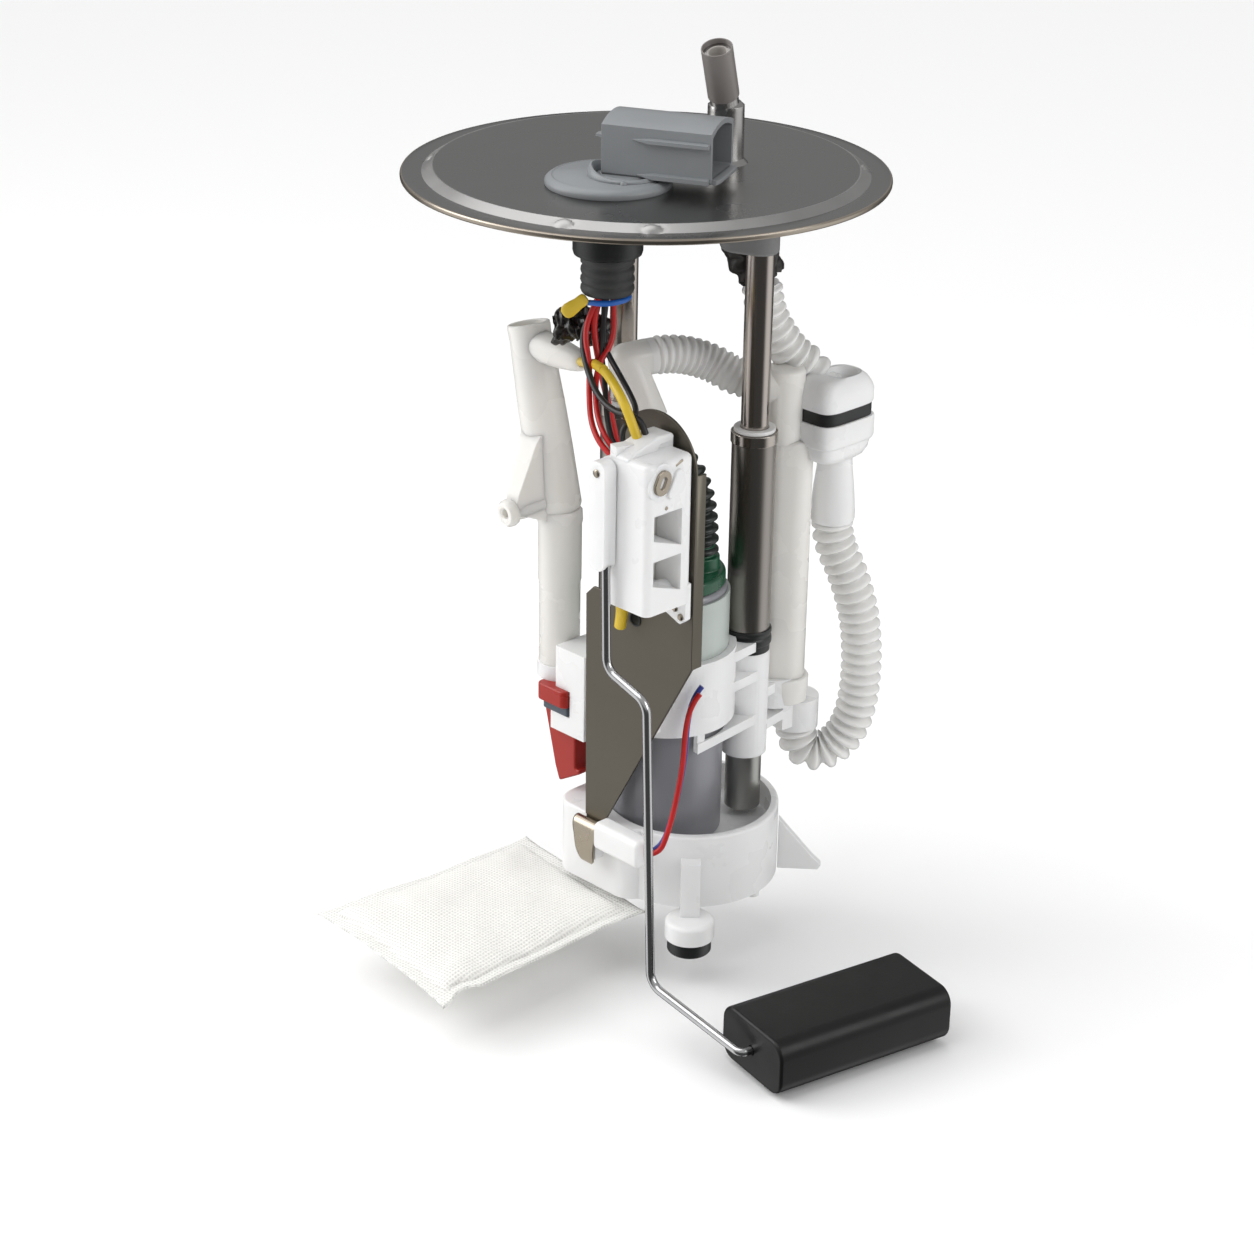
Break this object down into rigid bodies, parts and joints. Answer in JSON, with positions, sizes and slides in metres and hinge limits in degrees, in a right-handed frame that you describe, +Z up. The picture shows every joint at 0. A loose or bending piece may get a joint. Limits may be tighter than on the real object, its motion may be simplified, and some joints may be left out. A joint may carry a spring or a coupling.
{
  "type": "fuel pump module",
  "caption": "In-tank fuel pump module: flange on sprung telescoping guides over a pump, reservoir cup, strainer, ribbed hoses and float sender.",
  "frame": {"origin": "centre of the flange's flat seat, on the underside of its rim", "axes": "+Z up out of the tank along the flange's axis; +X along the sender bracket's width, towards the float; +Y from the bracket towards the pump"},
  "size_m": [0.1884, 0.171, 0.2631],
  "materials": {
    "flange_steel": "satin pressed steel",
    "nozzle_steel": "satin",
    "rod_chrome": "polished",
    "tube_steel": "drawn, smooth",
    "grey_plastic": "matte",
    "black_rubber": "matte",
    "brass_plate": "plated",
    "white_plastic": "soft gloss",
    "hose_plastic": "translucent, ribbed",
    "black_hose": "ribbed",
    "green_plastic": "matte",
    "can_grey": "satin",
    "sleeve_clear": "translucent",
    "red_plastic": "gloss",
    "grey_rubber": "matte",
    "bracket_steel": "satin plated sheet",
    "clip_steel": "bright",
    "arm_steel": "bright wire",
    "ceramic": "matte",
    "float_black": "satin closed cell",
    "mesh_fabric": "fine woven mesh",
    "wire_red": "satin insulation",
    "wire_blue": "satin insulation",
    "wire_black": "satin insulation",
    "wire_yellow": "satin insulation"
  },
  "bodies": {
    "flange_assembly": {"flange_plate": "flange_steel", "outlet_tube": "nozzle_steel", "outlet_sleeve": "grey_plastic", "connector_base": "grey_plastic", "connector_shroud": "grey_plastic", "connector_terminals": "brass_plate", "boot_collar": "grey_plastic", "wire_boot": "black_rubber", "guide_bosses": "grey_plastic", "guide_rods": "rod_chrome", "rod_pistons": "white_plastic", "wire_terminal": "wire_yellow", "outlet_wrap": "black_rubber", "outlet_hose": "hose_plastic", "power_wire": "wire_red", "signal_wire": "wire_black", "wire_loom": "wire_black"},
    "carrier_assembly": {"pump_can": "can_grey", "pump_inlet": "white_plastic", "pump_sleeve": "sleeve_clear", "pump_cap": "green_plastic", "riser_hose": "black_hose", "riser_elbow": "white_plastic", "cross_hose": "hose_plastic", "carrier": "white_plastic", "standpipe": "white_plastic", "filter_canister": "white_plastic", "check_cap": "red_plastic", "check_seal": "grey_rubber", "check_wedge": "red_plastic", "valve_top": "white_plastic", "valve_band": "black_rubber", "valve_bottom": "white_plastic", "reservoir_cup": "white_plastic", "wire_plug": "white_plastic", "spring_clip": "clip_steel", "foot_cap": "white_plastic", "foot_bumper": "black_rubber", "strainer_wing": "white_plastic", "filter_sock": "mesh_fabric", "sock_neck": "white_plastic", "sender_bracket": "bracket_steel", "sender_housing": "white_plastic", "resistor_card": "ceramic", "contact_eyelet": "clip_steel", "sender_rivets": "clip_steel", "return_hose": "hose_plastic", "pump_wire_red": "wire_red", "pump_wire_blue": "wire_blue", "earth_wire": "wire_yellow", "guide_tube_right": "tube_steel", "guide_tube_left": "tube_steel", "guide_bushes": "white_plastic", "tube_rings": "rod_chrome", "tube_collars": "black_rubber", "guide_springs": "arm_steel"},
    "float_arm_assembly": {"float_arm": "arm_steel", "arm_holder": "white_plastic"},
    "float_body": {"sender_float": "float_black"}
  },
  "joints": [
    {"name": "carrier_slide", "type": "slide", "parent": "flange_assembly", "child": "carrier_assembly", "axis": [0, 0, 1], "range_m": [0, 0.03], "stiffness_N_per_m": 250, "springref_m": -0.04, "deforming": ["guide_springs", "outlet_wrap", "outlet_hose", "power_wire", "signal_wire", "wire_loom", "earth_wire"]},
    {"name": "float_arm_pivot", "type": "hinge", "parent": "carrier_assembly", "child": "float_arm_assembly", "pos_m": [0.0372, -0.0516, -0.063], "axis": [0, -1, 0], "range_deg": [0, 72]},
    {"name": "float_swivel", "type": "hinge", "parent": "float_arm_assembly", "child": "float_body", "pos_m": [0.0939, -0.0516, -0.2165], "axis": [0.2164, 0.9763, 0], "continuous": true}
  ]
}
